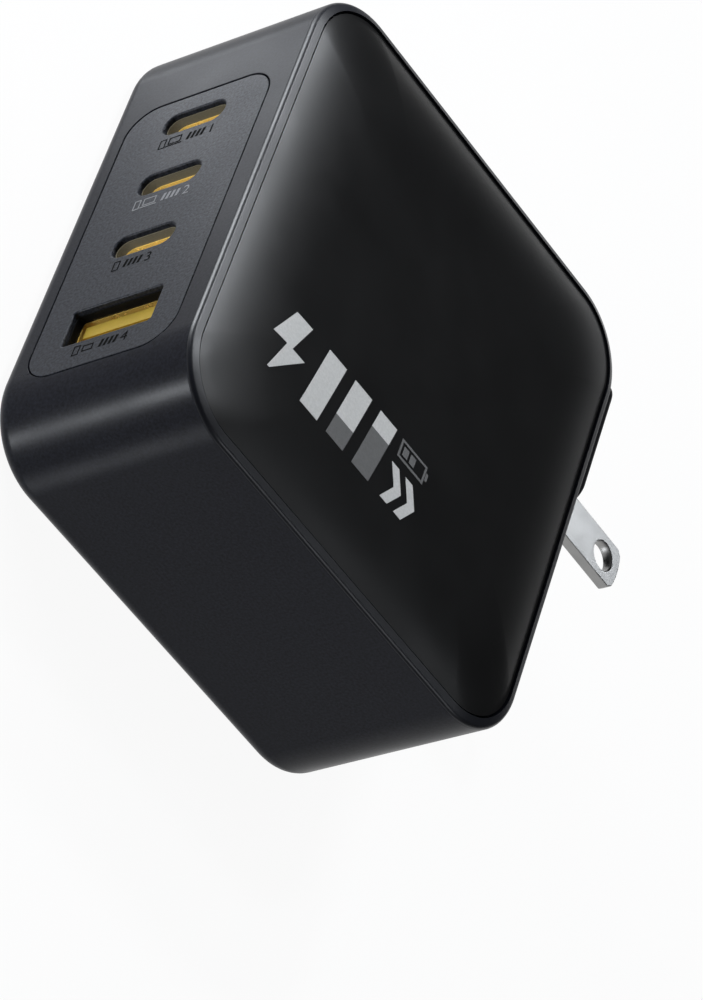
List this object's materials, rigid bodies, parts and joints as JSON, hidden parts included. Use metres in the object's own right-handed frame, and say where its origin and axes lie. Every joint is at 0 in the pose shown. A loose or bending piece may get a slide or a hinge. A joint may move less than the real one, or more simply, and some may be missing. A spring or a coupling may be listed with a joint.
{
  "type": "laptop power adapter",
  "caption": "Wall charger with a rounded square body, a pillowed front, charging sockets on one edge and folding mains blades on the opposite edge.",
  "frame": {"origin": "centre of the body's flat back, which the charger lies on", "axes": "+Z is the normal of the pillowed front; +X points out of the edge that carries the mains blades, so the sockets face -X; +Y is the way the blades swing when they fold in"},
  "size_m": [0.0841, 0.07, 0.0318],
  "materials": {
    "shell_plastic": "fine moulded grain",
    "cover_plastic": "soft satin with a very fine grain",
    "back_plastic": "fine moulded grain",
    "panel_plastic": "fine moulded grain",
    "housing_plastic": "smooth satin",
    "hub_plastic": "smooth satin",
    "blade_nickel": "nickel plating over brass, finely brushed along its length",
    "contact_bronze": "bare spring bronze",
    "spring_steel": "bare spring steel",
    "socket_gold": "gold-coloured plating",
    "tongue_plastic": "black high-temperature plastic",
    "circuit_board": "green solder mask",
    "ferrite": "dull dark grey ferrite",
    "bobbin_plastic": "black phenolic",
    "winding_tape": "yellow polyester tape",
    "copper_wire": "enamelled copper wire",
    "capacitor_sleeve": "shrink sleeve",
    "can_aluminium": "bare aluminium",
    "yellow_case": "moulded case",
    "blue_coating": "dipped epoxy",
    "black_coating": "dipped epoxy",
    "fuse_body": "ceramic tube with plated caps",
    "chip_epoxy": "moulded epoxy"
  },
  "bodies": {
    "charger": {"main_shell": "shell_plastic", "front_cover": "cover_plastic", "back_plate": "back_plastic", "port_panel": "panel_plastic", "plug_housing": "housing_plastic", "pocket_lid": "housing_plastic", "live_contact": "contact_bronze", "neutral_contact": "contact_bronze", "detent_spring": "spring_steel", "small_socket_shell_1": "socket_gold", "small_socket_shell_2": "socket_gold", "small_socket_shell_3": "socket_gold", "small_socket_tongue_1": "tongue_plastic", "small_socket_tongue_2": "tongue_plastic", "small_socket_tongue_3": "tongue_plastic", "large_socket_shell": "socket_gold", "large_socket_tongue": "tongue_plastic", "large_socket_contacts": "socket_gold", "main_board": "circuit_board", "port_board": "circuit_board", "transformer_core": "ferrite", "transformer_bobbin": "bobbin_plastic", "transformer_winding": "winding_tape", "boost_choke_core": "ferrite", "boost_choke_winding": "copper_wire", "line_choke_core": "ferrite", "line_choke_winding": "copper_wire", "reservoir_capacitor_1": "capacitor_sleeve", "reservoir_capacitor_2": "capacitor_sleeve", "reservoir_capacitor_3": "capacitor_sleeve", "line_capacitor": "yellow_case", "safety_capacitor": "blue_coating", "fuse": "fuse_body", "varistor": "blue_coating", "inrush_thermistor": "black_coating", "bridge_rectifier": "chip_epoxy", "bridge_heat_sink": "can_aluminium", "power_switches": "chip_epoxy", "control_chip": "chip_epoxy", "output_capacitors": "can_aluminium", "output_chokes": "ferrite", "heat_spreader": "can_aluminium"},
    "prongs": {"prong_hub": "hub_plastic", "live_blade": "blade_nickel", "neutral_blade": "blade_nickel"}
  },
  "joints": [
    {"name": "prong_fold", "type": "hinge", "parent": "charger", "child": "prongs", "pos_m": [0.031, 0.0082, 0.01475], "axis": [0, 0, 1], "range_deg": [0, 90]}
  ]
}
